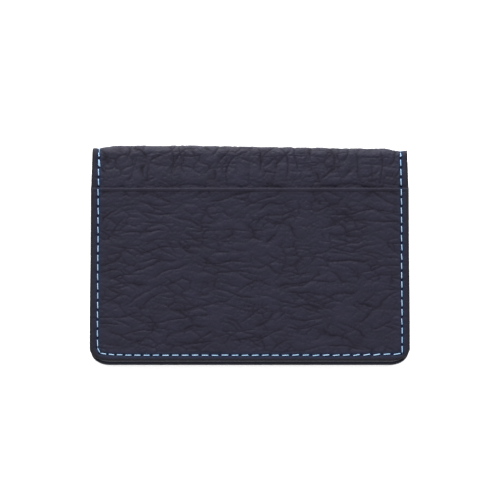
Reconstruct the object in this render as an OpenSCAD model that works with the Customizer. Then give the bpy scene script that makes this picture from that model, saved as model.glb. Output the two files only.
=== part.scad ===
// Folding card holder in grained leather: a front cover, a spine and a card pouch that is hinged on the spine.
// It lies closed on its front cover, with the spine at +Y and the outer slip pocket facing up.

/* [Case] */
// Width across the seams
case_w = 110; // [95:1:130]
// Height from the opening edge to the outside of the spine
case_h = 75; // [66:1:90]
// Corner radius at the opening edge
corner_r = 4.5; // [2:0.5:8]
// Outer radius of the leather where it turns over the spine
fold_r = 3.5; // [2.5:0.25:5]
// How far the gusseted pocket stands open, as an angle
wedge = 5; // [4:0.25:6]
// How much narrower the case is above the slip pocket and over the spine
spine_taper = 0.8; // [0:0.1:2]

/* [Leather] */
// Thickness of the grained outer leather
leather_t = 1.3; // [1:0.1:1.6]
// Thickness of the lining
lining_t = 0.6; // [0.4:0.1:0.8]
// Thickness of the stiffener between leather and lining
stiffener_t = 0.4; // [0.2:0.1:0.6]
// Thickness of the card pocket on the cover
card_pocket_t = 0.8; // [0.6:0.1:1.2]
// Thickness of the gusseted pocket's front
pocket_front_t = 1.0; // [0.8:0.1:1.3]
// Thickness of the gusset leather
gusset_t = 0.5; // [0.4:0.1:0.7]
// Free gap inside a slip pocket
slip_gap = 0.5; // [0.3:0.1:1]

/* [Pockets] */
// Distance from the outside of the spine to the mouth of the outer slip pocket
slip_mouth = 14.6; // [10:0.2:25]
// Distance from the outside of the spine to the mouth of the gusseted pocket
main_mouth = 17.5; // [15:0.5:25]
// Distance from the outside of the spine to the mouth of the cover's card pocket
cover_mouth = 20; // [15:0.5:30]
// Glued margin of a slip pocket on its three closed sides
seam_margin = 4; // [3:0.5:5]
// How far a gusset folds inwards at the pocket's mouth
gusset_depth = 7; // [5:0.5:8]

/* [Stitching] */
// Distance from the edge to the seam
seam_inset = 2.3; // [1.8:0.1:3]
// Distance from one stitch to the next
stitch_pitch = 3.3; // [2.5:0.1:4]
// Length of the thread that shows in one stitch
stitch_len = 2.4; // [1.5:0.1:2.8]
// Width of the thread
thread_w = 0.6; // [0.4:0.05:0.8]

/* [Hidden] */
$fn = 48;
eps = 0.01;

// Colours of the leather, its lining, the stiffener and the thread
grain_navy = [0.20, 0.20, 0.26];
smooth_navy = [0.13, 0.15, 0.24];
board_grey = [0.62, 0.60, 0.55];
thread_blue = [0.42, 0.66, 0.88];

// Plan: the spine's outside is at +spine_y, and the opening edge is at -spine_y
spine_y = case_h / 2;
bend_y = spine_y - fold_r;
cover_edge_y = -spine_y;
back_edge_y = cover_edge_y + 0.5;
top_w = case_w - spine_taper;
slip_mouth_y = spine_y - slip_mouth;
main_mouth_y = spine_y - main_mouth;
cover_mouth_y = spine_y - cover_mouth;
stiffener_gap = 4;

// Heights in the cover, from its outside at z = 0 upwards
cover_board_z = leather_t;
cover_lining_z = cover_board_z + stiffener_t;
cover_gap_z = cover_lining_z + lining_t;
cover_pocket_z = cover_gap_z + slip_gap;
cover_top_z = cover_pocket_z + card_pocket_t;

// Depths in the pouch, from the outside of its leather downwards
board_d = leather_t;
lining_d = board_d + stiffener_t;
inner_d = lining_d + lining_t;
front_d = inner_d + 2 * gusset_t;
hem_d = front_d + pocket_front_t;

// The pouch is turned by the wedge angle about the centre of its bend, so that its pocket front lies level
cover_clearance = 0.3;
back_z = cover_top_z + cover_clearance + fold_r + (bend_y - back_edge_y) * sin(wedge)
    + (hem_d - fold_r) * cos(wedge);
hub_z = back_z - fold_r;

// Each hinge line lies on the leather's outside, halfway round its bend
cover_bend = 45;
back_bend = (90 + wedge) / 2;

// The gusseted pocket's front turns about the inner edge of its hem
hem_y = back_edge_y + seam_margin;
hem_z = back_z - hem_d;

groove_d = 0.3;
groove_w = thread_w + 0.3;
thread_h = groove_d - 0.05;
seam_y = back_edge_y + seam_inset;

// A panel outline with two rounded corners at the opening edge
module panel(w, y0, y1, r) {
    translate([-w / 2, y0 + r]) square([w, y1 - y0 - r]);
    translate([-w / 2 + r, y0]) square([w - 2 * r, r + eps]);
    for (side = [-1, 1])
        translate([side * (w / 2 - r), y0 + r]) circle(r);
}

// A flat sheet of that outline between two heights
module sheet(w, y0, y1, r, z0, z1) {
    translate([0, 0, z0]) linear_extrude(z1 - z0) panel(w, y0, y1, r);
}

// The channel that a seam lies in, along both sides and the opening edge
module groove(w, y0, y1, z0, z1) {
    outer_w = w - 2 * seam_inset + groove_w;
    inner_w = outer_w - 2 * groove_w;
    start_y = y0 + seam_inset - groove_w / 2;
    translate([0, 0, z0]) linear_extrude(z1 - z0) difference() {
        translate([-outer_w / 2, start_y]) square([outer_w, y1 - start_y]);
        translate([-inner_w / 2, start_y + groove_w]) square([inner_w, y1 - start_y]);
    }
}

// Two straight channels along the sides only, for a seam that runs on from another sheet
module side_grooves(w, y0, y1, z0, z1) {
    for (side = [-1, 1])
        translate([side * (w / 2 - seam_inset) - groove_w / 2, y0, z0]) cube([groove_w, y1 - y0, z1 - z0]);
}

// The three closed margins of a slip pocket, without its free middle
module pocket_margin(w, y0, y1, r, z0, z1) {
    translate([0, 0, z0]) linear_extrude(z1 - z0) difference() {
        panel(w, y0, y1, r);
        translate([-w / 2 + seam_margin, y0 + seam_margin])
            square([w - 2 * seam_margin, y1 - y0]);
    }
}

// A slice of a bend, drawn in the YZ plane and stretched along X
module bend(w, cz, r_out, r_in, from, to) {
    translate([0, bend_y, cz]) rotate([90, 0, 90])
        linear_extrude(w, center = true) intersection() {
            difference() {
                circle(r_out);
                circle(r_in);
            }
            polygon([[0, 0], 2 * r_out * [cos(from), sin(from)], 2 * r_out * [cos(to), sin(to)]]);
        }
}

// Turns the pouch by the wedge angle about the centre of its bend
module in_pouch() {
    translate([0, bend_y, hub_z]) rotate([wedge, 0, 0]) translate([0, -bend_y, -hub_z]) children();
}

// Turns the gusseted pocket's front away from the lining, inside the pouch
module in_pocket() {
    translate([0, hem_y, hem_z]) rotate([-wedge, 0, 0]) translate([0, -hem_y, -hem_z]) children();
}

// One stitch lying along +Y, centred on the origin, with its flat side down
module stitch(length = stitch_len) {
    rotate([90, 0, 0]) linear_extrude(length, center = true)
        scale([1, thread_h * 2 / thread_w]) half_disc(thread_w / 2);
}

module half_disc(r) {
    polygon([for (a = [0:30:180]) r * [cos(a), sin(a)]]);
}

// Stitches at each pitch along both sides, from y0 to y1
module side_stitches(w, y0, y1, z) {
    count = floor((y1 - y0) / stitch_pitch);
    for (side = [-1, 1], i = [0:count - 1])
        translate([side * (w / 2 - seam_inset), y0 + (i + 0.5) * stitch_pitch, z]) stitch();
}

// Stitches at each pitch along the opening edge, at y
module edge_stitches(w, y, z) {
    span = w - 2 * seam_inset;
    count = floor(span / stitch_pitch);
    pitch = span / count;
    for (i = [0:count - 1])
        translate([-span / 2 + (i + 0.5) * pitch, y, z]) rotate([0, 0, 90]) stitch();
}

// Turns what is drawn facing up over, onto the underside of a sheet at z
module facing_down(z) {
    translate([0, 0, z]) mirror([0, 0, 1]) children();
}

// Front cover

module cover_leather() {
    color(grain_navy) union() {
        difference() {
            sheet(case_w, cover_edge_y, bend_y, corner_r, 0, leather_t);
            groove(case_w, cover_edge_y, bend_y, -eps, groove_d);
            spine_relief(cover_mouth_y + 6, bend_y, -eps, leather_t + eps);
        }
        bend(top_w, fold_r, fold_r, fold_r - leather_t, -90, -cover_bend);
    }
}

// Takes the width down to that of the spine, on both sides
module spine_relief(y0, y1, z0, z1) {
    for (side = [-1, 1])
        translate([side * (top_w / 2 + spine_taper), (y0 + y1) / 2, (z0 + z1) / 2])
            cube([2 * spine_taper, y1 - y0, z1 - z0], center = true);
}

module cover_stiffener() {
    color(board_grey)
        sheet(case_w - 1, cover_edge_y + 0.5, bend_y - stiffener_gap, corner_r - 0.5,
            cover_board_z, cover_lining_z);
}

module cover_lining() {
    color(smooth_navy) union() {
        difference() {
            sheet(case_w, cover_edge_y, bend_y, corner_r, cover_board_z, cover_gap_z);
            sheet(case_w - 1, cover_edge_y + 0.5, bend_y - stiffener_gap, corner_r - 0.5,
                cover_board_z - eps, cover_lining_z);
            spine_relief(cover_mouth_y + 6, bend_y, cover_board_z - eps, cover_gap_z + eps);
        }
        bend(top_w, fold_r, fold_r - leather_t, fold_r - leather_t - lining_t, -90, -cover_bend);
    }
}

module cover_card_pocket() {
    color(smooth_navy) difference() {
        union() {
            sheet(case_w, cover_edge_y, cover_mouth_y, corner_r, cover_pocket_z, cover_top_z);
            pocket_margin(case_w, cover_edge_y, cover_mouth_y, corner_r, cover_gap_z, cover_pocket_z + eps);
        }
        groove(case_w, cover_edge_y, cover_mouth_y + 1, cover_top_z - groove_d, cover_top_z + eps);
    }
}

module cover_seam_thread() {
    y = cover_edge_y + seam_inset;
    color(thread_blue) {
        facing_down(groove_d) {
            side_stitches(case_w, y, bend_y, 0);
            edge_stitches(case_w, y, 0);
        }
        side_stitches(case_w, y, cover_mouth_y, cover_top_z - groove_d);
        edge_stitches(case_w, y, cover_top_z - groove_d);
        side_stitches(case_w, cover_mouth_y + 1, bend_y, cover_gap_z);
    }
}

// Spine

module spine_strip(r_out, r_in) {
    bend(top_w, fold_r, r_out, r_in, -cover_bend, 0);
    bend(top_w, hub_z, r_out, r_in, 0, back_bend);
    translate([-top_w / 2, bend_y + r_in, fold_r - eps])
        cube([top_w, r_out - r_in, hub_z - fold_r + 2 * eps]);
}

module spine_leather() {
    color(grain_navy) difference() {
        spine_strip(fold_r, fold_r - leather_t);
        for (side = [-1, 1])
            translate([side * (case_w / 2 - seam_inset), spine_y, (fold_r + hub_z) / 2])
                cube([groove_w, 2 * groove_d, hub_z - fold_r], center = true);
    }
}

module spine_lining() {
    color(smooth_navy) spine_strip(fold_r - leather_t, fold_r - leather_t - lining_t);
}

module spine_seam_thread() {
    span = hub_z - fold_r;
    count = floor(span / stitch_pitch);
    pitch = span / count;
    color(thread_blue)
        for (side = [-1, 1], i = [0:count - 1])
            translate([side * (case_w / 2 - seam_inset), spine_y - groove_d, fold_r + (i + 0.5) * pitch])
                rotate([-90, 0, 0]) stitch();
}

// Pouch

module back_leather() {
    color(grain_navy) in_pouch() union() {
        difference() {
            sheet(case_w, back_edge_y, bend_y, corner_r, back_z - leather_t, back_z);
            spine_relief(slip_mouth_y, bend_y, back_z - leather_t - eps, back_z + eps);
            side_grooves(case_w, slip_mouth_y, bend_y, back_z - groove_d, back_z + eps);
        }
        bend(top_w, hub_z, fold_r, fold_r - leather_t, back_bend - wedge, 90);
    }
}

module back_stiffener() {
    color(board_grey) in_pouch()
        sheet(case_w - 1, back_edge_y + 0.5, bend_y - stiffener_gap, corner_r - 0.5,
            back_z - lining_d, back_z - board_d);
}

module back_lining() {
    color(smooth_navy) in_pouch() union() {
        difference() {
            sheet(case_w, back_edge_y, bend_y, corner_r, back_z - inner_d, back_z - board_d);
            sheet(case_w - 1, back_edge_y + 0.5, bend_y - stiffener_gap, corner_r - 0.5,
                back_z - lining_d, back_z - board_d + eps);
            spine_relief(slip_mouth_y, bend_y, back_z - inner_d - eps, back_z - board_d + eps);
        }
        bend(top_w, hub_z, fold_r - leather_t, fold_r - leather_t - lining_t, back_bend - wedge, 90);
    }
}

module outer_slip_pocket() {
    panel_z = back_z + slip_gap;
    color(grain_navy) in_pouch() difference() {
        union() {
            sheet(case_w, back_edge_y, slip_mouth_y, corner_r, panel_z, panel_z + leather_t);
            pocket_margin(case_w, back_edge_y, slip_mouth_y, corner_r, back_z, panel_z + eps);
        }
        groove(case_w, back_edge_y, slip_mouth_y + 1, panel_z + leather_t - groove_d, panel_z + leather_t + eps);
    }
}

module back_seam_thread() {
    panel_z = back_z + slip_gap + leather_t - groove_d;
    color(thread_blue) in_pouch() {
        side_stitches(case_w, seam_y, slip_mouth_y, panel_z);
        edge_stitches(case_w, seam_y, panel_z);
        side_stitches(case_w, slip_mouth_y, bend_y, back_z - groove_d);
    }
}

// A gusset leg: a triangle that runs from nothing at the hem to the gusset's full depth at the mouth
module gusset_leg(angle, length) {
    rotate([0, angle, 0]) linear_extrude(gusset_t)
        polygon([[0, 0], [0, length], [-gusset_depth / cos(angle), length]]);
}

// One gusset at +X: two margins in the seams, and two legs that meet in a fold inside the pocket
module gusset() {
    fold_x = case_w / 2 - seam_margin;
    inner_z = back_z - inner_d;
    length = main_mouth_y - hem_y;
    lean = atan((length * sin(wedge) / 2 + 0.1) / gusset_depth);
    translate([fold_x, back_edge_y + corner_r, inner_z - gusset_t])
        cube([seam_margin, main_mouth_y - back_edge_y - corner_r, gusset_t]);
    translate([fold_x + eps, hem_y, inner_z - gusset_t]) gusset_leg(-lean, length);
    in_pocket() translate([fold_x, hem_y, back_z - front_d]) {
        cube([seam_margin, length, gusset_t]);
        translate([eps, 0, 0]) gusset_leg(lean, length);
    }
}

module right_gusset() {
    color(smooth_navy) in_pouch() gusset();
}

module left_gusset() {
    color(smooth_navy) in_pouch() mirror([1, 0, 0]) gusset();
}

// The fixed lower margin of the gusseted pocket's front, thick enough to close the pocket onto the lining
module main_pocket_hem() {
    color(grain_navy) in_pouch() difference() {
        sheet(case_w, back_edge_y, back_edge_y + 2 * corner_r, corner_r, back_z - hem_d, back_z - inner_d);
        translate([-case_w, hem_y, back_z - hem_d - eps]) cube([2 * case_w, case_h, hem_d]);
        translate([0, seam_y, back_z - hem_d])
            cube([case_w - 2 * seam_inset + groove_w, groove_w, 2 * groove_d], center = true);
    }
}

module hem_seam_thread() {
    color(thread_blue) in_pouch()
        facing_down(back_z - hem_d + groove_d) edge_stitches(case_w, seam_y, 0);
}

// Gusseted pocket's front

module main_pocket_front() {
    front_z = back_z - hem_d;
    color(grain_navy) in_pouch() in_pocket() difference() {
        translate([-case_w / 2, hem_y, front_z]) cube([case_w, main_mouth_y - hem_y, pocket_front_t]);
        side_grooves(case_w, hem_y - 1, main_mouth_y + 1, front_z - eps, front_z + groove_d);
    }
}

module main_pocket_lining() {
    lining_w = case_w - 2 * (seam_margin + 1.4);
    color(smooth_navy) in_pouch() in_pocket()
        translate([-lining_w / 2, hem_y + 1, back_z - front_d])
            cube([lining_w, main_mouth_y - hem_y - 1, 0.4]);
}

module pocket_seam_thread() {
    color(thread_blue) in_pouch() in_pocket()
        facing_down(back_z - hem_d + groove_d) side_stitches(case_w, hem_y, main_mouth_y, 0);
}

cover_leather();
cover_stiffener();
cover_lining();
cover_card_pocket();
cover_seam_thread();
spine_leather();
spine_lining();
spine_seam_thread();
back_leather();
back_stiffener();
back_lining();
outer_slip_pocket();
back_seam_thread();
left_gusset();
right_gusset();
main_pocket_hem();
hem_seam_thread();
main_pocket_front();
main_pocket_lining();
pocket_seam_thread();
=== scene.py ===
import math

import bpy
import numpy as np
from mathutils import Matrix, Vector


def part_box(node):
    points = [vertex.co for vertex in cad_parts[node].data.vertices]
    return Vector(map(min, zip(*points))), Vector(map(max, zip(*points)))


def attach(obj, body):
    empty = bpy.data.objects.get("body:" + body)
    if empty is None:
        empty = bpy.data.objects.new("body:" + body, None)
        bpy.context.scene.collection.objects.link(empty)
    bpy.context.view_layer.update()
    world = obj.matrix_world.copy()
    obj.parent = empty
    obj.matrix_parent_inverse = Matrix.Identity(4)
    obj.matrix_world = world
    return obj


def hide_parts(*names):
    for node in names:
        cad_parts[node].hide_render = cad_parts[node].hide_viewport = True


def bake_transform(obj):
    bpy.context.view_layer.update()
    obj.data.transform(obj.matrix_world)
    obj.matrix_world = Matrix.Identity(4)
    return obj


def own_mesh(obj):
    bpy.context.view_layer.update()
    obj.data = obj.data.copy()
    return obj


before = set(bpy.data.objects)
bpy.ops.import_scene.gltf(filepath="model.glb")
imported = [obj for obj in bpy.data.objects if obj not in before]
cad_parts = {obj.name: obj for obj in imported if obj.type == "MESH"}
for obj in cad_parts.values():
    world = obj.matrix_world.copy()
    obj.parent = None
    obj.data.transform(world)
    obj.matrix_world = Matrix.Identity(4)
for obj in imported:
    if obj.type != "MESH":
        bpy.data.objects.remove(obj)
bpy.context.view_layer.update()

MM = 0.001

# ---------------------------------------------------------------- sizes, in millimetres
# x runs across the case, s along a sheet from its opening edge to the spine, and n out of the sheet's face.

def span(node, axis):
    """Lowest and highest value of a CAD node along an axis, in millimetres."""
    low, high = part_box(node)
    return low[axis] / MM, high[axis] / MM


CASE_HALF = span("cover_leather", 0)[1]
TOP_HALF = span("spine_leather", 0)[1]
COVER_EDGE_Y = span("cover_leather", 1)[0]
SPINE_Y = span("spine_leather", 1)[1]
COVER_BOARD_Z, COVER_LINING_Z = span("cover_stiffener", 2)
COVER_POCKET_TOP = span("cover_card_pocket", 2)[1]
COVER_MOUTH_Y = span("cover_card_pocket", 1)[1]

LEATHER_T = COVER_BOARD_Z
BOARD_T = COVER_LINING_Z - COVER_BOARD_Z
LINING_T = 0.6
PANEL_T = LEATHER_T + BOARD_T + LINING_T
SPINE_T = LEATHER_T + LINING_T
SLIP_GAP = 0.5
SLIP_TOP = SLIP_GAP + LEATHER_T
CARD_POCKET_T = 0.8
CARD_SEWN_T = 1.3        # the card pocket along its seam, down to the lining
GUSSET_T = 0.5
POCKET_FRONT_T = 1.0
POCKET_LINING_T = 0.4
FRONT_D = PANEL_T + 2 * GUSSET_T
HEM_D = FRONT_D + POCKET_FRONT_T

FOLD_R = 3.5
WEDGE = 5                # degrees that the gusseted pocket stands open
WEDGE_ANGLE = math.radians(WEDGE)
CORNER_R = 4.5
BEND_Y = SPINE_Y - FOLD_R
BACK_FLAT = 71.0         # the back's length up to its bend
BACK_Z = 14.385          # height of the back's face where its bend begins to turn down
HUB_Z = BACK_Z - FOLD_R
MID_SPINE = (HUB_Z - FOLD_R) / 2
GHOST = 0.3              # an open sheet runs on this far into the next one,
GHOST_DROP = 0.012       # and this far below its face
SLIP_MOUTH_S = 60.1
MAIN_MOUTH_S = 57.0
HEM_S = 4.0
GUSSET_FOLD_X = CASE_HALF - 4.0
GUSSET_DEPTH = 7.0
GUSSET_MARGIN = 4.3      # width of a gusset's sewn margin,
MARGIN_IN = 0.25         # and how far it lies in from the case's side

SEAM_IN = 2.35           # from the opening edge
SEAM_SIDE = 2.70         # from the sides
SEAM_X = CASE_HALF - SEAM_SIDE
SEWN_STRIP = 4.0         # width along each side in which a pocket is sewn down
RUN_IN = -9              # a seam's channel begins before the opening edge,
RUN_ON = 5               # and runs on past the end of its sheet
STITCH_PITCH = 3.25
LONG_ROW = (3.48, 2.55)  # pitch and first stitch of the slip pocket's row along the opening edge
TOP_SIDES = (3.0, 3.2)   # and of the back's sides above the slip pocket
THREAD_R = 0.145
PLY_TURNS = 2.6          # turns of the thread's twist in one stitch
TROUGH_D = 0.22
HOLE_D = 0.5
HOLE_R = 0.36
STAIN_W = 0.85

SET_BACK = 0.35          # how far the pouch's sheets lie in from the case's opening edge
COVER_BACK = 0.28        # and the cover's
BOARD_IN = 1.3           # how far a board lies in from its skin's edges,
BOARD_END = 4            # and how far before the bend it ends
LIP_IN = 0.5             # how far a lining lies inside its skin's painted edge
LIP_END = 0.8            # and where the skin's hidden face has been drawn back up for it
FACE_INSET = 0.45        # where a sheet's face ends and its rounded edge begins
CORNER_ASPECT = 1.45     # a corner is this much longer across the case than along it
CORNER_STEPS = 21
MOUTH_CORNER = 0.5
MOUTH_STEPS = 5
EDGE_STEP = 0.17
SEAM_BAND = 4.6          # the width along each side where a sheet's mesh is fine
LINING_FACE_T = 0.55
INNER_LINING_T = 0.3
INNER_LINING_IN = 5.4

CREASE_IN = 1.35         # the creased line's distance from a mouth
CREASE_W = 0.20
CREASE_D = 0.22
GRAIN_D = 0.40           # depth of the grain's deepest creases
GATHERED = (15, 22)      # where the gathered grain begins to fade and ends, from the middle of the spine


# ---------------------------------------------------------------- curves in the YZ plane

def path(start, heading, side, *segments):
    """A curve in the YZ plane, as a function of its length: each segment is (length, turn in degrees).
    side is +1 when the visible face lies to its left, and -1 when it lies to its right."""
    def at(s):
        s = np.asarray(s, float)
        y, z = np.full_like(s, start[0]), np.full_like(s, start[1])
        angle, passed, begun = np.full_like(s, math.radians(heading)), 0.0, math.radians(heading)
        for length, turn in segments:
            bend = math.radians(turn) / length
            local = np.clip(s - passed, 0, length)
            if bend:
                y = y + (np.sin(begun + bend * local) - math.sin(begun)) / bend
                z = z - (np.cos(begun + bend * local) - math.cos(begun)) / bend
            else:
                y = y + local * math.cos(begun)
                z = z + local * math.sin(begun)
            angle = angle + bend * local
            begun += math.radians(turn)
            passed += length
        return y, z, -side * np.sin(angle), side * np.cos(angle)
    return at


def place(curve, x, s, n):
    """Points at x across a sheet, s along its curve and n out of its face, in metres."""
    y, z, ny, nz = curve(s)
    return np.stack([x + 0 * s, y + n * ny, z + n * nz], axis=-1) * MM


def point_on(curve, s, n=0.0):
    """The (y, z) of one point of a curve, in millimetres."""
    return tuple(place(curve, 0.0, np.array(s), n)[1:] / MM)


COVER_FLAT = BEND_Y - COVER_EDGE_Y
COVER_BEND = FOLD_R * math.pi / 2
BACK_BEND = FOLD_R * math.radians(90 + WEDGE)
COVER_LEN = COVER_FLAT + COVER_BEND + MID_SPINE
BACK_LEN = BACK_FLAT + BACK_BEND + MID_SPINE
back_start = (
    BEND_Y - BACK_FLAT * math.cos(WEDGE_ANGLE) - FOLD_R * math.sin(WEDGE_ANGLE),
    HUB_Z - BACK_FLAT * math.sin(WEDGE_ANGLE) + FOLD_R * math.cos(WEDGE_ANGLE),
)
cover_path = path((COVER_EDGE_Y, 0), 0, -1, (COVER_FLAT, 0), (COVER_BEND, 90), (20, 0))
back_path = path(back_start, WEDGE, 1, (BACK_FLAT, 0), (BACK_BEND, -90 - WEDGE), (20, 0))
hem_start = point_on(back_path, 0.0, -HEM_D)
front_path = path(hem_start, WEDGE, -1, (HEM_S - 0.4, 0), (0.8, -WEDGE), (80, 0))


# ---------------------------------------------------------------- noise

def smooth(low, high, t):
    """0 below low, 1 above high, and smooth between them."""
    t = np.clip((t - low) / (high - low), 0, 1)
    return t * t * (3 - 2 * t)


LATTICE = 128
SCATTER = 0.85


def lattice(seed, layers):
    """A square of random numbers, which the noise below repeats."""
    return np.random.default_rng(seed).random((LATTICE, LATTICE, layers))


def cells(u, v, seed):
    """Distances to the nearest and the next nearest scattered point, and the nearest point's own number."""
    table = lattice(seed, 3)
    iu, iv = np.floor(u).astype(int), np.floor(v).astype(int)
    first, second, own = np.full(u.shape, 9.0), np.full(u.shape, 9.0), np.zeros(u.shape)
    for du in (-1, 0, 1):
        for dv in (-1, 0, 1):
            at = table[(iu + du) % LATTICE, (iv + dv) % LATTICE]
            px = iu + du + 0.5 + SCATTER * (at[..., 0] - 0.5)
            py = iv + dv + 0.5 + SCATTER * (at[..., 1] - 0.5)
            gap = np.hypot(px - u, py - v)
            nearer = gap < first
            second = np.where(nearer, first, np.minimum(second, gap))
            own = np.where(nearer, at[..., 2], own)
            first = np.where(nearer, gap, first)
    return first, second, own


def waves(u, v, seed):
    """Smooth gradient noise, about -1 to 1."""
    table = lattice(seed, 1)[..., 0] * 2 * math.pi
    iu, iv = np.floor(u).astype(int), np.floor(v).astype(int)
    fu, fv = u - iu, v - iv
    total = 0
    for du in (0, 1):
        for dv in (0, 1):
            turn = table[(iu + du) % LATTICE, (iv + dv) % LATTICE]
            dot = np.cos(turn) * (fu - du) + np.sin(turn) * (fv - dv)
            wu = smooth(0, 1, 1 - fu if du == 0 else fu)
            wv = smooth(0, 1, 1 - fv if dv == 0 else fv)
            total = total + dot * wu * wv
    return total * 1.5


def rough(u, v, seed, octaves):
    """Layers of gradient noise, each half as large as the one before."""
    return sum(waves(u * 2**k, v * 2**k, seed + k) / 2**k for k in range(octaves))


# ---------------------------------------------------------------- leather grain, in millimetres

def folds(x, s, lean, pitch, seed, sharp=0.8):
    """A family of long creases, about pitch apart: 0 deep in them and 1 on the crown between two of them.
    """
    phase = (s - lean * x) / pitch + 0.80 * waves(x / 21, s / 11, seed)
    phase = phase + 0.34 * waves(x / 8.0, s / 5.0, seed + 1) + 0.06 * waves(x / 2.4, s / 2.2, seed + 3)
    ridge = np.abs(np.sin(math.pi * phase)) ** sharp
    amount = smooth(-0.45, 0.35, waves(x / 13, s / 6.0, seed + 2))
    return 1 - amount * (1 - ridge)


def net(x, s, wide, high, seed):
    """Creases that close into pillows of about wide by high: 0 deep in the creases and 1 on a pillow."""
    wx = x + 0.12 * wide * waves(2 * x / wide, 2 * s / high, seed + 5)
    ws = s + 0.14 * high * waves(1.7 * x / wide, 1.7 * s / high, seed + 6)
    near, after, _ = cells(wx / wide, ws / high, seed)
    amount = smooth(-0.5, 0.3, waves(0.55 * x / wide, 0.55 * s / high, seed + 7))
    return 1 - amount * np.exp(-((after - near) / 0.30))


def crossing(families):
    """Creases of several families at once; each family is (its folds, how shallow they are)."""
    crown = 1.0
    for family, shallow in families:
        crown = np.minimum(crown, shallow + (1 - shallow) * family)
    return crown


def grain(x, s, seed, pucker=0.0):
    """Height of the milled grain, and the painted shade at each point, the more the deeper it lies in a
    crease or a fine knot, plus a random tone for each small cell. Long creases run across the panel, cross
    at shallow angles and close into pillows; where pucker is 1 they are gathered, as over a fold, and run
    round it as well."""
    level = folds(x, s, 0.03, 3.8, seed + 10, 0.7)
    crown = crossing([
        (level, 0.10),
        (folds(x, s, 0.42, 5.4, seed + 20), 0.2),
        (folds(x, s, -0.40, 5.0, seed + 30), 0.2),
        (net(x, s + 0.1 * x, 5.4, 2.9, seed + 40), 0.25),
        (net(x, s - 0.2 * x, 3.3, 2.0, seed + 45), 0.55),
    ])
    if np.max(pucker) > 0:
        gathered = crossing([
            (folds(s, x, 0.15, 5.5, seed + 90, 0.7), 0.05),
            (folds(s, x, -0.8, 7.5, seed + 95), 0.15),
            (net(x, s, 4.6, 4.2, seed + 50), 0.25),
            (level, 0.3),
        ])
        crown = crown + pucker * (gathered - crown)
    wx = x + 0.5 * waves(x / 2.2, s / 2.2, seed + 61)
    ws = s + 0.4 * waves(x / 2.0, s / 2.0, seed + 62)
    near, after, own = cells(wx / 1.5, ws / 1.5, seed + 64)
    knot = np.exp(-(((after - near) / 0.26) ** 2)) * smooth(-0.5, 0.4, waves(x / 5, s / 4, seed + 63))
    height = -GRAIN_D * (1 - crown) - 0.065 * knot + 0.06 * (0.5 - near)
    height = height + 0.10 * waves(x / 5, s / 3.4, seed + 80)
    # Painted shade: darker in the creases and fine knots; own adds a random tone for each cell
    depth = np.clip(smooth(0.30, 1.0, 1 - crown) + 0.25 * knot + 0.15 * own, 0, 1)
    return height, depth


def fine_grain(x, s, seed):
    """Height of the smooth lining leather, and the painted shade in the hollows between its fine cells."""
    near = cells(x / 1.3, s / 1.1, seed)[0]
    height = 0.018 * (0.5 - near) + 0.05 * rough(x / 14, s / 9, seed + 1, 2)
    return height, 0.4 * smooth(0.4, 0.8, near)


# ---------------------------------------------------------------- seams, as lines in (x, s)

def seam_distance(x, s, lines):
    """How far each point lies from a seam."""
    nearest = np.full(x.shape, 99.0)
    for line in lines:
        for (x0, s0), (x1, s1) in zip(line, line[1:]):
            dx, ds = x1 - x0, s1 - s0
            t = np.clip(((x - x0) * dx + (s - s0) * ds) / (dx * dx + ds * ds), 0, 1)
            nearest = np.minimum(nearest, np.hypot(x - x0 - t * dx, s - s0 - t * ds))
    return nearest


def punch(line, pitch=STITCH_PITCH, first=STITCH_PITCH):
    """Needle holes along a line of points; their spacing begins at first and soon grows to pitch."""
    x, s = np.array(line, float).T
    reach = np.concatenate([[0], np.cumsum(np.hypot(np.diff(x), np.diff(s)))])
    more_than_enough = np.arange(60)
    at = np.cumsum(pitch - (pitch - first) * np.exp(-more_than_enough / 4))
    at = np.concatenate([[0], at[:max(1, np.argmin(np.abs(at - reach[-1])) + 1)]])
    at = at * reach[-1] / at[-1]
    return list(zip(np.interp(at, reach, x), np.interp(at, reach, s)))


def stitched(*runs):
    """Stitches between neighbouring holes of each run: middle, direction and length."""
    found = []
    for run in runs:
        for (x0, s0), (x1, s1) in zip(run, run[1:]):
            size = math.dist((x0, s0), (x1, s1))
            found.append(((x0 + x1) / 2, (s0 + s1) / 2, (x1 - x0) / size, (s1 - s0) / size, size))
    return found


# ---------------------------------------------------------------- sheets

# Rings of points round a sheet's edge: first (how far in, height over the visible face), and then
# (how far in, how much less than the sheet's thickness, as a negative number)
EDGE_RINGS = [
    (0.34, -0.03), (0.22, -0.08), (0.12, -0.16), (0.05, -0.28), (0.0, -0.45),
]
UNDER_RINGS = [
    (0.0, -0.45), (0.05, -0.28), (0.14, -0.12), (0.3, -0.02), (0.55, 0.0),
]


def graded(low, high, step, fine_step, fine_to):
    """Values from low to high, closer together within fine_to of both ends."""
    ends = np.arange(0, fine_to, fine_step)
    middle = np.linspace(low + fine_to, high - fine_to, max(2, round((high - low - 2 * fine_to) / step)))
    return np.concatenate([low + ends, middle, (high - ends)[::-1]])


def grid_faces(index):
    """The four-sided faces between the neighbouring points of a grid."""
    corners = [index[:-1, :-1], index[:-1, 1:], index[1:, 1:], index[1:, :-1]]
    return np.stack(corners, axis=-1).reshape(-1, 4)


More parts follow.
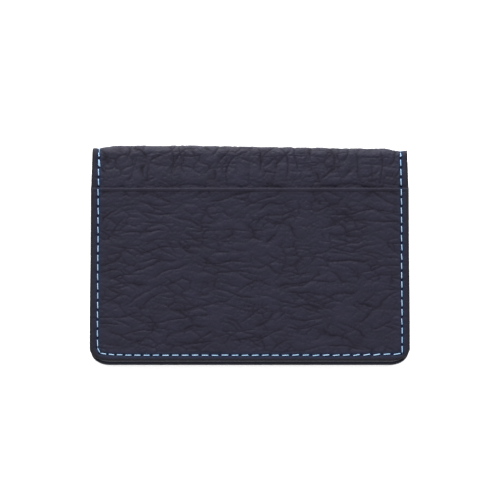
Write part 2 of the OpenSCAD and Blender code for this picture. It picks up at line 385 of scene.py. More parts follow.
class Sheet:
    """A leather sheet with rounded, painted edges, built as a closed mesh from its visible face round its
    edges to its hidden face. half is its half width as a function of s; thick its thickness at (x, s). It
    begins at start; a closed one ends in an edge at length, an open one runs on into the next sheet.
    A lipped sheet's hidden face is drawn back up to lip, so that a lining fits inside its painted edge.
    corner is the radius of its corners, step the size of its mesh, and base its height over its curve."""

    def __init__(self, curve, length, half, corner, thick, closed, step, start=0.0, rows=None, base=0.0,
                 fine_to=SEAM_BAND, lip=None):
        self.curve, self.length, self.half, self.thick, self.lip = curve, length, half, thick, lip
        self.corner, self.closed, self.base, self.start = corner, closed, base, start
        turns = np.linspace(0, math.pi / 2, CORNER_STEPS + 1)[:-1]
        far_turns = np.linspace(math.pi / 2, 0, MOUTH_STEPS + 1)[1:] if closed else np.zeros(0)
        low, high = start + corner, length - (MOUTH_CORNER if closed else 0)
        middle = graded(low, high, step, EDGE_STEP, EDGE_STEP) if rows is None else rows
        if not closed:
            middle = np.append(middle, length + GHOST)
        self.turn = np.concatenate([turns, np.full(len(middle), math.pi / 2), far_turns])
        self.zone = np.repeat([0, 1, 2], [len(turns), len(middle), len(far_turns)])
        self.middle = np.concatenate([0 * turns, middle, 0 * far_turns])
        self.u = graded(-half(0.0), half(0.0), step, EDGE_STEP, fine_to) / half(0.0)

    def rows(self, inset):
        """s and half width of each row, that far in from the edge."""
        r0, r1 = self.corner - inset, MOUTH_CORNER - inset
        half = self.half(self.middle)
        near_s = self.start + inset + r0 * (1 - np.cos(self.turn))
        near_x = (self.corner * CORNER_ASPECT - inset) * (1 - np.sin(self.turn))
        far_s = self.length - inset - r1 * (1 - np.cos(self.turn))
        s = np.choose(self.zone, [near_s, self.middle, far_s])
        half = self.half(s)
        w = np.choose(self.zone, [
            half - inset - near_x,
            half - inset,
            half - MOUTH_CORNER + r1 * np.sin(self.turn),
        ])
        return s, w

    def loop(self, inset):
        """Points round the edge, that far in: down the left side, along the opening edge, up the right
        side, and back along the mouth of a closed sheet."""
        s, w = self.rows(inset)
        inner = self.u[1:-1]
        x = np.concatenate([-w[::-1], inner * w[0], w])
        t = np.concatenate([s[::-1], np.full(len(inner), s[0]), s])
        if self.closed:
            x = np.concatenate([x, inner[::-1] * w[-1]])
            t = np.concatenate([t, np.full(len(inner), s[-1])])
        return x, t

    def edge_distance(self, x, s):
        """How far in from the nearest edge each point lies."""
        side, s = self.half(s) - np.abs(x), s - self.start
        r, wide = self.corner, self.corner * CORNER_ASPECT
        in_corner = (side < wide) & (s < r)
        d = np.where(in_corner, r * (1 - np.hypot(1 - side / wide, 1 - s / r)), np.minimum(side, s))
        return np.minimum(d, self.length - self.start - s) if self.closed else d


def hidden_faces(closed, rings, rows, cols, last_row):
    """The faces of a sheet's hidden side, in strips from side to side, and of its open end."""
    last = rings[-1]
    right_from = rows + cols - 2
    right_to = right_from + rows
    left, bottom, right = last[:rows][::-1], last[rows:right_from], last[right_from:right_to]
    strips = np.stack([left[1:-1], left[2:], right[2:], right[1:-1]], axis=-1)
    faces = (strips[:-1] if closed else strips).tolist()
    faces.append([left[0], left[1], right[1], right[0], *bottom[::-1]])
    if closed:
        top = last[right_to:][::-1]
        faces.append([left[-2], left[-1], *top, right[-1], right[-2]])
    else:
        ends_right = [r[right_to - 1] for r in rings[1:]]
        ends_left = [r[0] for r in rings[1:]]
        faces.append([*last_row[::-1], *ends_left, *ends_right[::-1]])
    return faces


def build(name, sheet, height, material, flip=1):
    """The sheet's mesh. height(x, s, d) gives the face's height, its painted shade and random tone, edge
    paint and the thread's stain at each point; flip is -1 where the face lies on the other side of the
    curve."""
    s, w = sheet.rows(FACE_INSET)
    rows, cols = len(s), len(sheet.u)
    grid_x = w[:, None] * sheet.u[None, :]
    grid_s = np.repeat(s[:, None], cols, axis=1)
    base = sheet.base if callable(sheet.base) else (lambda x, s: sheet.base + 0 * s)
    points, coords, shades_and_tones, paints, stains = [], [], [], [], []

    def add(x, t, n, depth, paint, stain):
        n = n - GHOST_DROP * (t > sheet.length + 0.01)
        points.append(place(sheet.curve, x, t, flip * n + base(x, t)).reshape(-1, 3))
        coords.append(np.stack([x + 0 * t, t + 0 * x, 0 * t + 0 * x], axis=-1).reshape(-1, 3))
        shades_and_tones.append((depth + 0 * t).ravel())
        paints.append((paint + 0 * t).ravel())
        stains.append((stain + 0 * t).ravel())

    # The visible face
    add(grid_x, grid_s, *height(grid_x, grid_s, sheet.edge_distance(grid_x, grid_s)))
    index = np.arange(rows * cols).reshape(rows, cols)
    quads = [grid_faces(index)]
    ring = np.concatenate([index[::-1, 0], index[0, 1:-1], index[:, -1]])
    if sheet.closed:
        ring = np.concatenate([ring, index[-1, 1:-1][::-1]])

    # Rings round the edge and a little way under the sheet
    count, total = len(ring), rows * cols
    top_x, top_s = sheet.loop(FACE_INSET)
    thick = sheet.thick(top_x, top_s)
    levels = [(d, np.full(count, drop)) for d, drop in EDGE_RINGS]
    levels += [(d, np.minimum(-thick - drop, -0.5)) for d, drop in UNDER_RINGS]
    if sheet.lip is not None:
        levels.append((LIP_END, np.full(count, -sheet.lip)))
    rings = [ring]
    edge_wave = 0.05 * waves(top_x / 5 + 31, top_s / 5 + 17, 900)
    for d, drop in levels:
        x, t = sheet.loop(d)
        h, depth, paint, stain = height(x, t, np.full(count, FACE_INSET))
        fade = np.exp(drop / 0.4)
        add(x, t, h * fade + drop + edge_wave * (1 - fade), depth * fade, paint, stain)
        above, ring = ring, np.arange(total, total + count)
        total += count
        quads.append(np.stack([above[:-1], ring[:-1], ring[1:], above[1:]], axis=-1))
        if sheet.closed:
            quads.append(np.array([[above[-1], ring[-1], ring[0], above[0]]]))
        rings.append(ring)

    faces = np.concatenate(quads).tolist() + hidden_faces(sheet.closed, rings, rows, cols, index[-1])
    # The crease attribute carries painted shade, with a little random tone, into the leather's colour
    return mesh_piece(name, np.concatenate(points), faces, material, {
        "sheet_mm": np.concatenate(coords),
        "crease_shade_and_tone": np.concatenate(shades_and_tones),
        "paint": np.concatenate(paints),
        "stain": np.concatenate(stains),
    })


def mesh_piece(name, points, faces, material, attributes):
    """A smooth-shaded closed mesh, with its faces turned outwards."""
    volume = 0.0
    quads = np.array([f for f in faces if len(f) == 4])
    for a, b, c in ((0, 1, 2), (0, 2, 3)):
        p, q, r = points[quads[:, a]], points[quads[:, b]], points[quads[:, c]]
        volume += np.einsum("ij,ij->i", p, np.cross(q, r)).sum()
    for face in (f for f in faces if len(f) != 4):
        p = points[face[0]]
        for b, c in zip(face[1:-1], face[2:]):
            volume += np.dot(p, np.cross(points[b], points[c]))
    if volume < 0:
        faces = [f[::-1] for f in faces]
    data = bpy.data.meshes.new(name)
    data.from_pydata(points.tolist(), [], [[int(i) for i in f] for f in faces])
    data.shade_smooth()
    data.materials.append(material)
    for key, values in attributes.items():
        kind, field = ("FLOAT_VECTOR", "vector") if values.ndim == 2 else ("FLOAT", "value")
        data.attributes.new(key, kind, "POINT").data.foreach_set(field, values.astype("f").ravel())
    piece = bpy.data.objects.new(name, data)
    bpy.context.scene.collection.objects.link(piece)
    return piece


# ---------------------------------------------------------------- stitches

def stitch_tube(x, s, way, length):
    """One stitch of twisted thread as points (x, s, n) about n = 0: its two ends dive into their holes."""
    t = np.linspace(-1, 1, 25)[:, None]
    turn = np.linspace(0, 2 * math.pi, 12, endpoint=False)[None, :]
    plies = 1 + 0.10 * np.cos(2 * (turn - PLY_TURNS * t * math.pi))
    r = THREAD_R * plies * (1 - 0.2 * smooth(0.75, 1.0, np.abs(t)))
    lead = t * length / 2 + 0 * turn
    flat = r * np.cos(turn)
    rise, dive = 0.12, 0.95
    up = rise - dive * smooth(0.50, 0.90, np.abs(t)) + 0.9 * r * np.sin(turn)
    return x + way[0] * lead - way[1] * flat, s + way[1] * lead + way[0] * flat, up


def sew(name, runs, material):
    """All stitches of a piece. Each run is (curve, height of the leather's face, side, stitches, slant in
    degrees); side is -1 on a lining."""
    points, faces, tones, total = [], [], [], 0
    rng = np.random.default_rng(11)
    for curve, base, side, stitches, slant in runs:
        for x, s, dx, ds, size in stitches:
            lean = math.radians(slant(x, s) if callable(slant) else slant) + rng.normal(0, 0.03)
            way = (dx * math.cos(lean) - ds * math.sin(lean), dx * math.sin(lean) + ds * math.cos(lean))
            shift = rng.normal(0, 0.03)
            length = size + rng.normal(0.05, 0.05)
            px, ps, up = stitch_tube(x + ds * shift, s - dx * shift, way, length)
            seat = (base(x, s) if callable(base) else base) - side * TROUGH_D
            points.append(place(curve, px, ps, seat + side * up).reshape(-1, 3))
            rows, cols = px.shape
            index = total + np.arange(rows * cols).reshape(rows, cols)
            quads = grid_faces(np.column_stack([index, index[:, 0]]))
            if side < 0:
                quads = quads[:, ::-1]
            faces += quads.tolist() + [index[0][::side].tolist()[::-1], index[-1][::side].tolist()]
            tones.append(np.full(rows * cols, rng.random()))
            total += rows * cols
    return mesh_piece(name, np.concatenate(points), faces, material, {"tone": np.concatenate(tones)})


# ---------------------------------------------------------------- materials

def srgb(*levels):
    """A colour given as it looks on screen, 0 to 255, as linear RGBA."""
    def linear(v):
        return v / 255 / 12.92 if v <= 10 else ((v / 255 + 0.055) / 1.055) ** 2.4
    return (*map(linear, levels), 1)


class Shader:
    """A material's node tree, with short calls to add and link nodes."""

    def __init__(self, name, **sockets):
        self.material = bpy.data.materials.new(name)
        self.material.use_nodes = True
        self.tree = self.material.node_tree
        self.bsdf = self.tree.nodes["Principled BSDF"]
        for key, value in sockets.items():
            self.bsdf.inputs[key.replace("_", " ")].default_value = value

    def add(self, kind, out=0, settings=None, **inputs):
        made = self.tree.nodes.new(kind)
        for key, value in (settings or {}).items():
            setattr(made, key, value)
        for key, value in inputs.items():
            self.put(made.inputs[key.replace("_", " ")], value)
        return made.outputs[out]

    def put(self, socket, value):
        if isinstance(value, bpy.types.NodeSocket):
            self.tree.links.new(value, socket)
        else:
            socket.default_value = value

    def attribute(self, name, out="Fac"):
        made = self.tree.nodes.new("ShaderNodeAttribute")
        made.attribute_name = name
        return made.outputs[out]

    def math(self, operation, a, b=0.0):
        made = self.tree.nodes.new("ShaderNodeMath")
        made.operation = operation
        self.put(made.inputs[0], a)
        self.put(made.inputs[1], b)
        return made.outputs[0]

    def mix(self, kind, sockets, factor, a, b):
        """A mix node; sockets are the numbers of its two inputs and its output for that kind of value."""
        made = self.tree.nodes.new("ShaderNodeMix")
        made.data_type = kind
        self.put(made.inputs["Factor"], factor)
        self.put(made.inputs[sockets[0]], a)
        self.put(made.inputs[sockets[1]], b)
        return made.outputs[sockets[2]]

    def blend(self, factor, a, b):
        return self.mix("RGBA", (6, 7, 2), factor, a, b)

    def between(self, factor, a, b):
        return self.mix("FLOAT", (2, 3, 0), factor, a, b)

    def ramp(self, value, low, high, to_low=0.0, to_high=1.0):
        ends = {"From_Min": low, "From_Max": high, "To_Min": to_low, "To_Max": to_high}
        return self.add("ShaderNodeMapRange", Value=value, **ends)

    def noise(self, where, scale, detail=2.0, roughness=0.5):
        return self.add("ShaderNodeTexNoise", Vector=where, Scale=scale, Detail=detail, Roughness=roughness)

    def bump(self, height, distance):
        return self.add("ShaderNodeBump", Height=height, Distance=distance, Strength=1.0)


SEAM_BLUE = srgb(8, 26, 52)
EDGE_PAINT = srgb(20, 21, 27)
PAINT_ROUGHNESS = 0.72


def leather(name, crown, valley_tone_and_shade, pore_scale, pore_depth, roughness, sheen):
    """Dyed leather: a patchy, speckled tone of its own; painted shade in its creases, seam channels, needle
    holes, along its edges and over a mouth's rim; a blue stain along its seams; fine pores; and edges
    coated in edge paint. roughness is its lowest and its highest value."""
    sh = Shader(name, Specular_IOR_Level=0.17, Sheen_Weight=sheen, Sheen_Roughness=0.35,
                Sheen_Tint=(0.85, 0.88, 1.0, 1.0))
    where = sh.attribute("sheet_mm", "Vector")
    crease_shade_and_tone, painted = sh.attribute("crease_shade_and_tone"), sh.attribute("paint")
    patches = sh.ramp(sh.noise(where, 0.09, 3.0), 0.35, 0.65)
    specks = sh.ramp(sh.noise(where, 2.4, 3.0, 0.6), 0.4, 0.75)
    tone = sh.blend(sh.math("MULTIPLY", patches, 0.35), crown, valley_tone_and_shade)
    tone = sh.blend(sh.math("MULTIPLY", specks, 0.25), tone, valley_tone_and_shade)
    # Painted shade: the crease attribute darkens the colour towards the valley colour in creases, channels,
    # holes, along the edges and over a mouth's rim
    tone = sh.blend(sh.math("MULTIPLY", crease_shade_and_tone, 0.85), tone, valley_tone_and_shade)
    tone = sh.blend(sh.math("MULTIPLY", sh.attribute("stain"), 0.75), tone, SEAM_BLUE)
    paint_tone = sh.blend(sh.ramp(sh.noise(where, 0.8, 3.0), 0.3, 0.7), EDGE_PAINT, valley_tone_and_shade)
    sh.put(sh.bsdf.inputs["Base Color"], sh.blend(painted, tone, paint_tone))
    dull = sh.ramp(sh.noise(where, 1.1, 3.0), 0.3, 0.7, *roughness)
    dull = sh.math("ADD", dull, sh.math("MULTIPLY", crease_shade_and_tone, 0.25))
    sh.put(sh.bsdf.inputs["Roughness"], sh.between(painted, dull, PAINT_ROUGHNESS))
    round_cells = {"feature": "SMOOTH_F1"}
    pores = sh.add("ShaderNodeTexVoronoi", settings=round_cells, Vector=where, Scale=pore_scale)
    hair = sh.noise(where, pore_scale * 2.3, 4.0, 0.65)
    height = sh.math("ADD", sh.math("MULTIPLY", pores, -0.8), sh.math("MULTIPLY", hair, 0.5))
    height = sh.math("MULTIPLY", height, sh.math("SUBTRACT", 1.0, sh.math("MULTIPLY", painted, 0.85)))
    sh.put(sh.bsdf.inputs["Normal"], sh.bump(height, pore_depth * MM))
    return sh.material


def thread_material():
    """Waxed sky-blue thread: two plies, a tone of its own for each stitch, and fine fibres."""
    sh = Shader("waxed_blue_thread", Roughness=0.5, Specular_IOR_Level=0.4)
    where = sh.add("ShaderNodeTexCoord", out="Object")
    tone = sh.attribute("tone")
    fibre = sh.noise(where, 9000.0, 3.0, 0.6)
    light = sh.blend(tone, srgb(158, 188, 212), srgb(184, 208, 228))
    sh.put(sh.bsdf.inputs["Base Color"], sh.blend(sh.ramp(fibre, 0.35, 0.7), light, srgb(96, 136, 174)))
    sh.put(sh.bsdf.inputs["Normal"], sh.bump(fibre, 0.04 * MM))
    return sh.material


def board_material():
    """Grey bonded leather board: pressed fibres."""
    sh = Shader("bonded_leather_board", Roughness=0.9)
    where = sh.add("ShaderNodeTexCoord", out="Object")
    fibre = sh.noise(where, 1800.0, 5.0, 0.7)
    tone = sh.blend(sh.ramp(fibre, 0.3, 0.7), srgb(168, 160, 146), srgb(128, 120, 108))
    sh.put(sh.bsdf.inputs["Base Color"], tone)
    sh.put(sh.bsdf.inputs["Normal"], sh.bump(fibre, 0.1 * MM))
    return sh.material


GRAINED = leather(
    "grained_navy_leather", crown=srgb(27, 25, 43), valley_tone_and_shade=srgb(10, 9, 19),
    pore_scale=1.25, pore_depth=0.10, roughness=(0.52, 0.64), sheen=0.15,
)
SMOOTH = leather(
    "smooth_navy_leather", crown=srgb(30, 33, 54), valley_tone_and_shade=srgb(17, 19, 34),
    pore_scale=1.6, pore_depth=0.015, roughness=(0.62, 0.74), sheen=0.07,
)
THREAD = thread_material()
BOARD = board_material()


# ---------------------------------------------------------------- shapes of the visible faces

def shoulder(d):
    """The face drops a little towards a sanded edge."""
    return -0.10 * (1 - smooth(0.3, 1.3, d))


def trough(gap):
    """The channel that a seam is pulled into, and the leather's swell beside it."""
    return -TROUGH_D * np.exp(-((gap / 0.50) ** 2)) + 0.05 * np.exp(-(((gap - 1.3) / 0.5) ** 2))


def faced(field, form=None, seam=(), runs=(), line=None):
    """A height function for build: a grain field, the sheet's own form, a seam's channel and its needle
    holes, and a line creased along the mouth. The channel, the holes, the creased line, a strip along the
    edges and the mouth's rim beyond the line are darkened with painted shade."""
    def height(x, s, d):
        x, s, d = np.broadcast_arrays(x, s, d)
        h, depth = field(x, s)
        gap = seam_distance(x, s, seam)
        calm = smooth(0.5, 2.2, d) * (1 - 0.6 * np.exp(-((gap / 0.8) ** 2)))
        h = h * calm + trough(gap) + shoulder(d)
        if form:
            h = h + form(x, s, d)
        # Painted shade in the seam's channel and in a strip along the edges
        depth = depth * calm + 0.35 * np.exp(-((gap / 0.45) ** 2)) + 0.30 * (1 - smooth(1.6, 3.0, d))
        for hole_x, hole_s in (hole for run in runs for hole in run):
            pit = np.exp(-((x - hole_x) ** 2 + (s - hole_s) ** 2) / HOLE_R**2)
            # Painted shade in each needle hole
            h, depth = h - HOLE_D * pit, depth + 0.7 * pit
        paint = 1 - smooth(0.62, 0.82, d)
        if line:
            mark = np.exp(-(((line - s) / CREASE_W) ** 2)) * smooth(0.3, 1.5, d)
            # Painted shade in the creased line
            h, depth = h - CREASE_D * mark, depth + 0.45 * mark
            paint = paint * (s < line + 0.2)
            # Painted shade over the mouth's rim, beyond the creased line
            depth = depth + 0.3 * smooth(line + 0.3, line + 0.9, s)
        return h, np.clip(depth, 0, 1), paint, np.exp(-((gap / STAIN_W) ** 2))
    return height


def hide(face_from_spine):
    """The grain of the one skin that covers front, spine and back, at a distance from the middle of the
    spine; it is gathered over the spine."""
    def field(x, s):
        v = face_from_spine(s)
        return grain(x, v, 100, 1 - smooth(*GATHERED, np.abs(v)))
    return field


def plain(kind, seed):
    """A grain field of a sheet that stands for itself."""
    return lambda x, s: kind(x, s, seed)


# Seams, and how each sheet narrows towards the spine

def u_lines(mouth):
    """A seam down the left side, along the opening edge and up the right side."""
    return [[(-SEAM_X, mouth), (-SEAM_X, SEAM_IN)], [(-SEAM_X, SEAM_IN), (SEAM_X, SEAM_IN)],
            [(SEAM_X, SEAM_IN), (SEAM_X, mouth)]]


def slip_lines(mouth):
    """The outer pocket's seam: one slanting stitch cuts its left corner, and its long row bows a little."""
    turn = (-SEAM_X, SEAM_IN + 2.6), (-SEAM_X + 0.9, SEAM_IN + 0.7)
    row = [turn[1], (-SEAM_X + 4.5, SEAM_IN + 0.2), (-SEAM_X + 14, SEAM_IN), (SEAM_X - 22, SEAM_IN),
           (SEAM_X, SEAM_IN + 0.45)]
    return [[(-SEAM_X, mouth), turn[0]], list(turn), row, [row[-1], (SEAM_X, mouth)]]


def side_lines(low, high):
    """Two straight side seams."""
    return [[(-SEAM_X, low), (-SEAM_X, high)], [(SEAM_X, low), (SEAM_X, high)]]


def punched(lines, *pitch):
    """Needle holes of each line of a seam."""
    return [punch(line, *pitch) for line in lines]


def taper(begin, step):
    """Half width: the case's own up to begin, a step there, and then slowly the spine's."""
    return lambda s: (CASE_HALF - step * smooth(begin - 0.2, begin + 0.6, s)
                      - (CASE_HALF - TOP_HALF - step) * np.clip((s - begin) / (BACK_FLAT - begin), 0, 1))


def even(half):
    """The same half width all along a sheet."""
    return lambda s: half + 0 * s


def thick(amount):
    """The same thickness all over a sheet."""
    return lambda x, s: amount + 0 * x


def skin_thick(x, s):
    """A skin hides the board's and the lining's edges, and is thinner where the board ends."""
    return PANEL_T - (PANEL_T - SPINE_T) * smooth(BACK_FLAT - 5, BACK_FLAT, s)


# Front cover

COVER_TAPER = taper(30, 0.0)
CARD_MOUTH_S = COVER_MOUTH_Y - COVER_EDGE_Y
cover_runs = punched(u_lines(COVER_LEN))
card_runs = punched(u_lines(CARD_MOUTH_S))
cover_lining_runs = punched(side_lines(CARD_MOUTH_S + 0.6, COVER_LEN - 2))


def fold_lift(x):
    """How far the spine's skin stands out between its two sewn strips."""
    return 1.08 * smooth(53, 46, np.abs(x)) + 0.30 - 1.2 * smooth(-30, 50, x) - 0.12 * smooth(48, 53, x)


def cover_form(x, s, d):
    """The skin begins to stand out where it turns up into the spine."""
    return fold_lift(x) * smooth(COVER_FLAT + 0.5, COVER_FLAT + COVER_BEND + 0.5, s)


cover_skin_face = faced(hide(lambda s: s - COVER_LEN), cover_form, u_lines(COVER_LEN + RUN_ON), cover_runs)


def cover_face(x, s, d):
    """The cover's skin lies flat on the table: nothing of it stands out below its face there."""
    h, depth, paint, stain = cover_skin_face(x, s, d)
    flat = 1 - smooth(COVER_FLAT - 1, COVER_FLAT + 1.5, s)
    return h - flat * np.maximum(h, 0), depth, paint, stain


cover_skin = build(
    "cover_skin",
    Sheet(cover_path, COVER_LEN, COVER_TAPER, CORNER_R, skin_thick, False, 0.34, start=COVER_BACK,
          lip=LEATHER_T), cover_face, GRAINED,
)
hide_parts("cover_leather", "spine_leather")


def lining_base(flat):
    """Where a lining's face lies: it comes out as far as the spine's when the board below it ends."""
    return lambda x, s: -PANEL_T + BOARD_T * smooth(flat - BOARD_END, flat, s)


def inside(half):
    """Half width of a lining, inside the lip of its skin."""
    return lambda s: half(s) - LIP_IN


cover_lining = build(
    "cover_lining_sheet",
    Sheet(cover_path, COVER_LEN, inside(COVER_TAPER), CORNER_R - LIP_IN, thick(LINING_FACE_T), False, 0.7,
          start=COVER_BACK + LIP_IN, base=lining_base(COVER_FLAT)),
    faced(plain(fine_grain, 200), None, side_lines(RUN_IN, COVER_LEN + RUN_ON), cover_lining_runs),
    SMOOTH, flip=-1,
)
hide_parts("cover_lining", "spine_lining")

card_path = path((COVER_EDGE_Y, COVER_POCKET_TOP), 0, 1, (90, 0))


def pocket_thick(thin, full):
    """Down to what it is sewn to along its seam, and its own thickness along the open mouth."""
    return lambda x, s: np.where((np.abs(x) > CASE_HALF - SEWN_STRIP) | (s < 30), full, thin)


card_pocket = build(
    "cover_card_pocket_sheet",
    Sheet(card_path, CARD_MOUTH_S, even(CASE_HALF), CORNER_R, pocket_thick(CARD_POCKET_T, CARD_SEWN_T),
          True, 0.6, start=COVER_BACK),
    faced(plain(fine_grain, 300), lambda x, s, d: 0.12 * smooth(3, 14, d), u_lines(CARD_MOUTH_S + RUN_ON),
          card_runs, line=CARD_MOUTH_S - CREASE_IN), SMOOTH,
)
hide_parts("cover_card_pocket")

# Pouch

BACK_TAPER = taper(SLIP_MOUTH_S, 0.1)
left_line, turn_line, row_line, right_line = slip_lines(SLIP_MOUTH_S)
slip_runs = punched([left_line, turn_line, right_line]) + punched([row_line], *LONG_ROW)
back_runs = punched(side_lines(SLIP_MOUTH_S + 0.4, BACK_LEN), *TOP_SIDES)
back_lining_runs = punched(side_lines(MAIN_MOUTH_S + 1, BACK_LEN - 2))

# The skin's rows are far apart under the slip pocket, and close together above its mouth
hidden_rows = np.concatenate([np.linspace(SET_BACK + CORNER_R, 56, 26), np.linspace(56.25, BACK_LEN, 98)])


def pouch_form(x, s, d):
    """The skin curves away early towards the fold, and then stands out over it in one round sweep."""
    out = smooth(BACK_FLAT, BACK_LEN - 1.5, s)
    return fold_lift(x) * out - 0.8 * smooth(BACK_FLAT - 9, BACK_FLAT + 1.5, s) * (1 - out)


pouch_skin = build(
    "pouch_skin",
    Sheet(back_path, BACK_LEN, BACK_TAPER, CORNER_R, skin_thick, False, 0.27, start=SET_BACK,
          rows=hidden_rows, lip=LEATHER_T),
    faced(hide(lambda s: BACK_LEN - s), pouch_form, side_lines(RUN_IN, BACK_LEN + RUN_ON), back_runs),
    GRAINED,
)
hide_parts("back_leather", "spine_leather")

pouch_lining = build(
    "pouch_lining_sheet",
    Sheet(back_path, BACK_LEN, inside(BACK_TAPER), CORNER_R - LIP_IN, thick(LINING_FACE_T), False, 0.7,
          start=SET_BACK + LIP_IN, base=lining_base(BACK_FLAT)),
    faced(plain(fine_grain, 500), None, side_lines(RUN_IN, BACK_LEN + RUN_ON), back_lining_runs),
    SMOOTH, flip=-1,
)
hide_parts("back_lining", "spine_lining")


def slip_half(s):
    """Half width of the slip pocket, which is pulled in a little towards its mouth."""
    return CASE_HALF - 0.3 * smooth(15, 60, s)


def slip_form(x, s, d):
    """The pocket's panel is a little full in its middle, and its mouth stands off the back."""
    mouth = smooth(4, 30, CASE_HALF - np.abs(x)) * smooth(SLIP_MOUTH_S - 12, SLIP_MOUTH_S, s)
    return 0.25 * smooth(2.5, 16, d) + 0.25 * mouth + 0.10 * waves(x / 19, s / 15, 77) * smooth(3, 10, d)


slip_pocket = build(
    "outer_slip_pocket_sheet",
    Sheet(back_path, SLIP_MOUTH_S, slip_half, CORNER_R, pocket_thick(LEATHER_T, SLIP_TOP), True, 0.29,
          start=SET_BACK, base=SLIP_TOP),
    faced(plain(grain, 600), slip_form, slip_lines(SLIP_MOUTH_S + RUN_ON), slip_runs,
          line=SLIP_MOUTH_S - CREASE_IN), GRAINED,
)
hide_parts("outer_slip_pocket")

# Gusseted pocket

front_runs = punched(u_lines(MAIN_MOUTH_S))


def front_thick(x, s):
    """Down to the lining at the hem, and down to the gussets above it."""
    return np.where(s < HEM_S, HEM_D - PANEL_T, POCKET_FRONT_T + 0.35)


main_front = build(
    "main_pocket_front_sheet",
    Sheet(front_path, MAIN_MOUTH_S, even(CASE_HALF), CORNER_R, front_thick, True, 0.36, start=SET_BACK),
    faced(plain(grain, 700), None, u_lines(MAIN_MOUTH_S + RUN_ON), front_runs,
          line=MAIN_MOUTH_S - CREASE_IN), GRAINED,
)
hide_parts("main_pocket_front", "main_pocket_hem")

inner_start = point_on(front_path, HEM_S + 1, -POCKET_FRONT_T - POCKET_LINING_T)
inner_path = path(inner_start, 0, 1, (90, 0))
main_lining = build(
    "main_pocket_lining_sheet",
    Sheet(inner_path, MAIN_MOUTH_S - HEM_S - 1.2, even(CASE_HALF - INNER_LINING_IN), 1.0,
          thick(INNER_LINING_T), True, 0.8, fine_to=1.0),
    faced(plain(fine_grain, 800)), SMOOTH,
)
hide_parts("main_pocket_lining")


def gusset_fold(name, side):
    """The V that closes the pocket's side: two legs that meet in a rounded fold inside the pocket."""
    rows, steps, blunt = 40, 24, 0.004
    s = np.linspace(HEM_S + 1.5, MAIN_MOUTH_S - 0.3, rows)[:, None]
    share = (s - HEM_S) / (MAIN_MOUTH_S - HEM_S)
    t = np.linspace(-1, 1, steps)[None, :]
    gap = (s - HEM_S) * math.sin(WEDGE_ANGLE) + 2 * GUSSET_T
    reach = GUSSET_DEPTH * share * (1 - np.sqrt(t * t + blunt)) / (1 - math.sqrt(blunt))
    x = side * (GUSSET_FOLD_X - reach + 0.4 * np.abs(t) ** 8)
    middle = -PANEL_T - gap / 2 - (gap / 2 - GUSSET_T / 2) * t
    points, coords = [], []
    for offset in (-GUSSET_T / 2, GUSSET_T / 2):
        lean = np.arctan2(gap / 2, GUSSET_DEPTH * share + 0.5)
        n = middle + offset * np.cos(lean) * np.tanh(5 * t)
        inward = side * offset * (np.sin(lean) + (1 - np.sin(lean)) * np.exp(-((t / 0.12) ** 2)))
        wrinkle = 0.12 * waves(s / 4 + 0 * t, t * 2 + 0 * s, 55) * (1 - t * t)
        points.append(place(back_path, x + inward + wrinkle, s + 0 * t, n).reshape(-1, 3))
        coords.append(np.stack([5 * t + 0 * s, s + 0 * t, 0 * s * t + offset], axis=-1).reshape(-1, 3))
    index = np.arange(rows * steps).reshape(rows, steps)
    low = grid_faces(index)
    high = low[:, ::-1] + rows * steps
    edge = np.concatenate([index[0, :], index[1:, -1], index[-1, -2::-1], index[-2:0:-1, 0]])
    after = np.roll(edge, -1)
    rim = np.stack([edge, edge + rows * steps, after + rows * steps, after], axis=-1)
    coords = np.concatenate(coords)
    none = 0 * coords[:, 0]
    return mesh_piece(name, np.concatenate(points), np.concatenate([low, high, rim]).tolist(), SMOOTH, {
        "sheet_mm": coords, "crease_shade_and_tone": 0.2 + none, "paint": none, "stain": none,
    })


def gusset_margin(name, curve, base, start, side):
    """The sewn margin of a gusset, on the lining or on the pocket's front."""
    half = GUSSET_MARGIN / 2
    centre = CASE_HALF - half - MARGIN_IN
    sheet = Sheet(curve, MAIN_MOUTH_S - start, even(half), 0.6, thick(GUSSET_T), True, 0.8, base=base,
                  fine_to=0.4)
    piece = build(name, sheet, faced(plain(fine_grain, 850)), SMOOTH, flip=-1)
    piece.data.transform(Matrix.Translation((side * centre * MM, 0, 0)))
    return piece


MARGIN_FRONT_S = HEM_S + 0.5
margin_back_path = path(point_on(back_path, CORNER_R), WEDGE, 1, (90, 0))
margin_front_path = path(point_on(front_path, MARGIN_FRONT_S), 0, -1, (90, 0))
gusset_anchor = place(back_path, 0.0, np.array(30.0), -PANEL_T)

gussets = []
for side, word in ((-1, "left"), (1, "right")):
    fold = gusset_fold(f"{word}_gusset_fold", side)
    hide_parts(f"{word}_gusset")
    inner = gusset_margin(
        f"{word}_gusset_back_margin", margin_back_path, -PANEL_T - GUSSET_T, CORNER_R, side)
    outer = gusset_margin(
        f"{word}_gusset_front_margin", margin_front_path, -POCKET_FRONT_T - GUSSET_T, MARGIN_FRONT_S, side)
    gussets.append((fold, inner, outer))


# ---------------------------------------------------------------- seams

def down_slant(x, s):
    """The row along the opening edge leans more and more towards the right."""
    return 8 * smooth(-20, 50, x) if s < 4 else 2


def surface(form, base=0.0):
    """The height of a sheet's face at a point, for its thread to lie on."""
    return lambda x, s: base + float(form(np.array(x), np.array(s), np.array(SEAM_IN)))


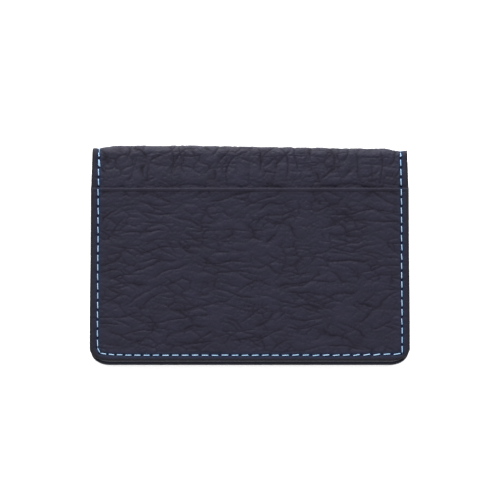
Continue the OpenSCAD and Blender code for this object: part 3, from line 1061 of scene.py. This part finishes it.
# The left seam is locked by a second row of stitches beside its last ones
back_tack = [(x + 0.32, s - 0.2, dx, ds, size) for x, s, dx, ds, size in stitched(*back_runs)
             if x < 0 and 66 < s < 70.5]
cover_threads = sew("cover_seam_stitches", [
    (cover_path, surface(cover_form), 1, stitched(*cover_runs), 3),
    (cover_path, lining_base(COVER_FLAT), -1, stitched(*cover_lining_runs), 3),
    (card_path, 0.0, 1, stitched(*card_runs), 3),
], THREAD)
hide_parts("cover_seam_thread", "spine_seam_thread")
back_threads = sew("back_seam_stitches", [
    (back_path, surface(slip_form, SLIP_TOP), 1, stitched(*slip_runs), down_slant),
    (back_path, surface(pouch_form), 1, stitched(*back_runs) + back_tack, 3),
    (back_path, lining_base(BACK_FLAT), -1, stitched(*back_lining_runs), 3),
], THREAD)
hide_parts("back_seam_thread", "spine_seam_thread")
front_threads = sew("pocket_front_stitches", [(front_path, 0.0, 1, stitched(*front_runs), 3)], THREAD)
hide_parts("pocket_seam_thread", "hem_seam_thread")


# ---------------------------------------------------------------- stiffeners

def stiffener(name, curve, start, end, bone):
    """The board between a skin and its lining, and what it rides on."""
    sheet = Sheet(curve, end, even(CASE_HALF - BOARD_IN), CORNER_R - BOARD_IN, thick(BOARD_T), True, 1.6,
                  start=start, base=-LEATHER_T, fine_to=0.4)
    piece = build(name + "_sheet", sheet, faced(plain(fine_grain, 900)), BOARD)
    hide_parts(name)
    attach(piece, bone)


stiffener("cover_stiffener", cover_path, COVER_BACK + BOARD_IN, COVER_FLAT - BOARD_END, "front_cover")
stiffener("back_stiffener", back_path, SET_BACK + BOARD_IN, BACK_FLAT - BOARD_END, "card_pouch")


# ---------------------------------------------------------------- what the other pieces ride on

hem_y, hem_z = place(front_path, 0.0, np.array(HEM_S), 0.0)[1:].tolist()

for piece in (cover_skin, cover_lining, cover_threads):
    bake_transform(piece)
for piece in (pouch_skin, pouch_lining, back_threads):
    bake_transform(piece)
for piece in (main_front, front_threads):
    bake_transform(piece)
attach(card_pocket, "front_cover")
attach(slip_pocket, "card_pouch")
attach(main_lining, "pocket_front")
for fold, inner, outer in gussets:
    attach(fold, "card_pouch")
    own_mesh(fold)
    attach(inner, "card_pouch")
    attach(outer, "pocket_front")


# ---------------------------------------------------------------- floor, light and camera

def floor_material():
    """Plain white paper, which glows a little so that no shadow falls in front of the case."""
    sh = Shader("pale_floor", Roughness=0.8, Specular_IOR_Level=0.1, Emission_Color=(1, 1, 1, 1),
                Emission_Strength=0.22)
    where = sh.add("ShaderNodeTexCoord", out="Object")
    sh.put(sh.bsdf.inputs["Base Color"],
           sh.blend(sh.noise(where, 3.0), (0.97, 0.97, 0.97, 1), (0.98, 0.98, 0.98, 1)))
    return sh.material


floor_data = bpy.data.meshes.new("floor")
floor_data.from_pydata([(-40, -40, 0), (40, -40, 0), (40, 40, 0), (-40, 40, 0)], [], [(0, 1, 2, 3)])
floor_data.materials.append(floor_material())
floor = bpy.data.objects.new("floor", floor_data)
floor.location.z = -0.2 * MM
bpy.context.scene.collection.objects.link(floor)


def softbox(name, location, size, power):
    """A square lamp that is aimed at the case."""
    lamp = bpy.data.lights.new(name, "AREA")
    lamp.shape, lamp.size, lamp.energy = "SQUARE", size, power
    box = bpy.data.objects.new(name, lamp)
    box.location = location
    box.rotation_euler = (-Vector(location)).to_track_quat("-Z", "Y").to_euler()
    bpy.context.scene.collection.objects.link(box)


softbox("key_behind", (-0.15, 1.0, 0.50), 1.0, 27)
softbox("fill_front", (0.3, -0.9, 1.0), 1.2, 4)

world = bpy.data.worlds.new("studio")
world.use_nodes = True
world.node_tree.nodes["Background"].inputs["Color"].default_value = (1, 1, 1, 1)
world.node_tree.nodes["Background"].inputs["Strength"].default_value = 1.12
bpy.context.scene.world = world
bpy.context.scene.view_settings.view_transform = "Standard"

CAMERA_AWAY = 0.80       # metres from what it is aimed at
CAMERA_UP = 81.0         # degrees above the floor
aim = Vector((0.00008, 0.0019, 0.009))
tilt = math.radians(CAMERA_UP)
lens = bpy.data.cameras.new("camera")
lens.lens, lens.sensor_width = 166.4, 36.0
lens.clip_start, lens.clip_end = 0.01, 200
camera = bpy.data.objects.new("camera", lens)
camera.location = aim + CAMERA_AWAY * Vector((0, -math.cos(tilt), math.sin(tilt)))
camera.rotation_euler = (aim - camera.location).to_track_quat("-Z", "Y").to_euler()
bpy.context.scene.collection.objects.link(camera)
bpy.context.scene.camera = camera
